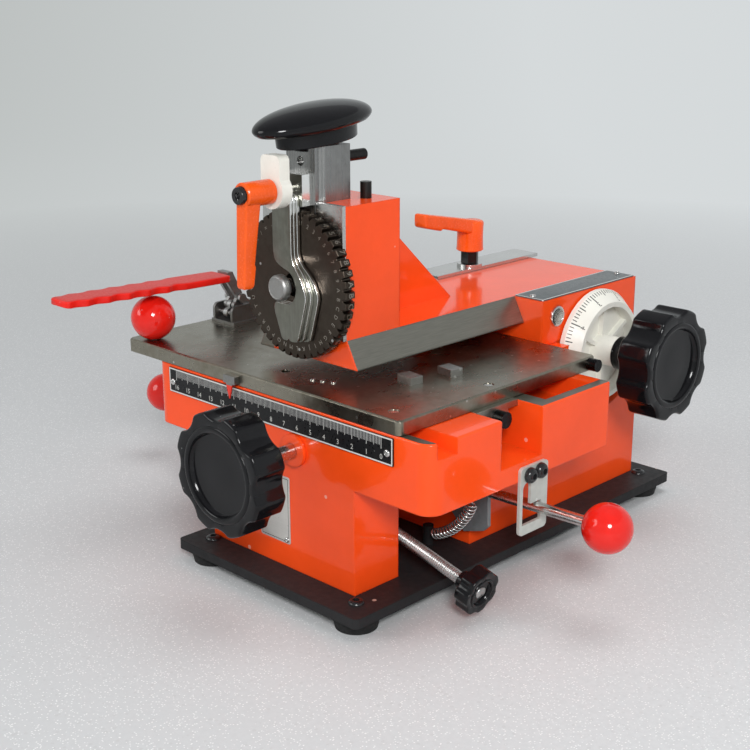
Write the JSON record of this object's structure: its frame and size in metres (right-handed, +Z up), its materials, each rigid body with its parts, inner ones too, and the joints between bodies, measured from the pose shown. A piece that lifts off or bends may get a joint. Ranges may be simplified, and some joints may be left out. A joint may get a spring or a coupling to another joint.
{
  "type": "nameplate marking machine",
  "caption": "Bench press with a letter wheel over a sliding table, for marking metal nameplates; a rack-driven arm carries the ram.",
  "frame": {"origin": "middle of the base plate, on the plane that the rubber feet stand on", "axes": "+X to the operator's right, +Y to the back, +Z up"},
  "size_m": [0.3843, 0.3178, 0.2555],
  "materials": {
    "orange_paint": "gloss",
    "black_paint": "satin",
    "machined_steel": "ground",
    "bright_steel": "polished",
    "dark_steel": "dark oiled",
    "bronze": "machined",
    "black_knob": "gloss",
    "red_plastic": "gloss",
    "orange_plastic": "gloss",
    "white_plastic": "matt",
    "black_rubber": "matt",
    "black_screw": "black oxide",
    "ruler_black": "satin"
  },
  "bodies": {
    "frame": {"base_plate": "black_paint", "rubber_feet": "black_rubber", "main_casting": "orange_paint", "slide_housing": "orange_paint", "housing_plug": "machined_steel", "clamp_strip": "bright_steel", "ruler_plate": "ruler_black", "front_shaft_bush": "bronze", "side_shaft_bush": "bronze", "table_gibs": "machined_steel", "lever_guide_bracket": "bright_steel", "bracket_screws": "black_screw", "adjuster_lug": "black_paint", "extension_spring": "bright_steel", "slide_lever_washer": "bright_steel"},
    "table": {"table_plate": "bright_steel", "table_fasteners": "machined_steel", "slide_bar": "machined_steel", "table_rack": "machined_steel", "stop_blocks": "bright_steel", "pointer": "machined_steel", "table_ball_knob": "red_plastic", "clamp_base": "bright_steel"},
    "front_drive": {"front_knob": "black_knob", "front_shaft": "bright_steel", "front_pinion": "machined_steel"},
    "arm": {"slide_arm": "orange_paint", "arm_rack": "machined_steel", "ram_cover_plates": "machined_steel", "top_screw": "bright_steel", "ram_return_spring": "machined_steel"},
    "side_drive": {"side_knob": "black_knob", "graduated_dial": "white_plastic", "knob_set_screws": "black_screw", "side_shaft": "bright_steel", "side_pinion": "machined_steel"},
    "ram": {"ram_block": "bright_steel", "ram_nose": "bright_steel", "ram_pin": "black_screw", "palm_handle": "black_knob", "wheel_holder": "bright_steel", "holder_spacer": "machined_steel", "axle_pin": "bright_steel", "nylon_spacer": "white_plastic"},
    "wheel": {"letter_wheel": "dark_steel"},
    "head_lever": {"head_clamp_lever": "orange_plastic", "head_lever_stud": "bright_steel"},
    "slide_lever": {"slide_clamp_lever": "orange_plastic", "slide_lever_stud": "bright_steel"},
    "yoke": {"feed_yoke": "machined_steel"},
    "feed_lever": {"feed_lever_rod": "bright_steel", "feed_lever_balls": "red_plastic", "rocker_plate": "dark_steel"},
    "adjuster": {"adjuster_rod": "bright_steel", "adjuster_knob": "black_knob"},
    "hold_down_bar": {"clamp_bar": "bright_steel", "clamp_spindle": "bright_steel"},
    "clamp_toggle_link": {"clamp_link": "bright_steel"},
    "clamp_lever": {"clamp_handle": "bright_steel", "clamp_grip": "red_plastic"}
  },
  "joints": [
    {"name": "table_slide", "type": "slide", "parent": "frame", "child": "table", "axis": [1, 0, 0], "range_m": [-0.049, 0.06]},
    {"name": "front_knob_turn", "type": "hinge", "parent": "frame", "child": "front_drive", "pos_m": [0.0083, -0.14, 0.081], "axis": [0, 1, 0], "range_deg": [-256, 313]},
    {"name": "arm_slide", "type": "slide", "parent": "frame", "child": "arm", "axis": [0, 1, 0], "range_m": [0, 0.075]},
    {"name": "side_knob_turn", "type": "hinge", "parent": "frame", "child": "side_drive", "pos_m": [0.06, 0.0898, 0.1003], "axis": [-1, 0, 0], "range_deg": [-1, 270]},
    {"name": "ram_press", "type": "slide", "parent": "arm", "child": "ram", "axis": [0, 0, -1], "range_m": [0, 0.009], "stiffness_N_per_m": 1500, "springref_m": -0.008, "deforming": ["ram_return_spring"]},
    {"name": "wheel_spin", "type": "hinge", "parent": "ram", "child": "wheel", "pos_m": [-0.008, -0.1033, 0.1631], "axis": [0, 1, 0], "continuous": true},
    {"name": "head_lever_turn", "type": "hinge", "parent": "ram", "child": "head_lever", "pos_m": [-0.008, -0.125, 0.213], "axis": [0, 1, 0], "range_deg": [-60, 60]},
    {"name": "slide_lever_turn", "type": "hinge", "parent": "frame", "child": "slide_lever", "pos_m": [-0.045, 0.0778, 0.15], "axis": [0, 0, 1], "range_deg": [-75, 10]},
    {"name": "yoke_swing", "type": "hinge", "parent": "frame", "child": "yoke", "pos_m": [-0.01, -0.0422, 0.065], "axis": [0, 0, 1], "range_deg": [-4.2, 0]},
    {"name": "feed_lever_tilt", "type": "hinge", "parent": "yoke", "child": "feed_lever", "pos_m": [-0.01, -0.0422, 0.0505], "axis": [0, 1, 0], "range_deg": [0, 2]},
    {"name": "adjuster_turn", "type": "hinge", "parent": "frame", "child": "adjuster", "pos_m": [0.0976, -0.0822, 0.0186], "axis": [0.9703, 0, -0.2419], "range_deg": [-720, 720]},
    {"name": "clamp_bar_lift", "type": "hinge", "parent": "table", "child": "hold_down_bar", "pos_m": [-0.1202, -0.0456, 0.1216], "axis": [1, 0, 0], "range_deg": [0, 35]},
    {"name": "clamp_handle_swing", "type": "hinge", "parent": "hold_down_bar", "child": "clamp_lever", "pos_m": [-0.1202, -0.0526, 0.1291], "axis": [1, 0, 0], "range_deg": [-105, 0]},
    {"name": "clamp_link_swing", "type": "hinge", "parent": "table", "child": "clamp_toggle_link", "pos_m": [-0.1202, -0.0586, 0.1201], "axis": [1, 0, 0], "range_deg": [0, 58.8]}
  ],
  "couplings": [
    {"joint": "front_knob_turn", "follows": "table_slide", "rad_per_m": 90.909},
    {"joint": "side_knob_turn", "follows": "arm_slide", "rad_per_m": 62.5},
    {"joint": "clamp_handle_swing", "follows": "clamp_bar_lift", "ratio": -3},
    {"joint": "clamp_link_swing", "follows": "clamp_bar_lift", "ratio": 1.68}
  ]
}
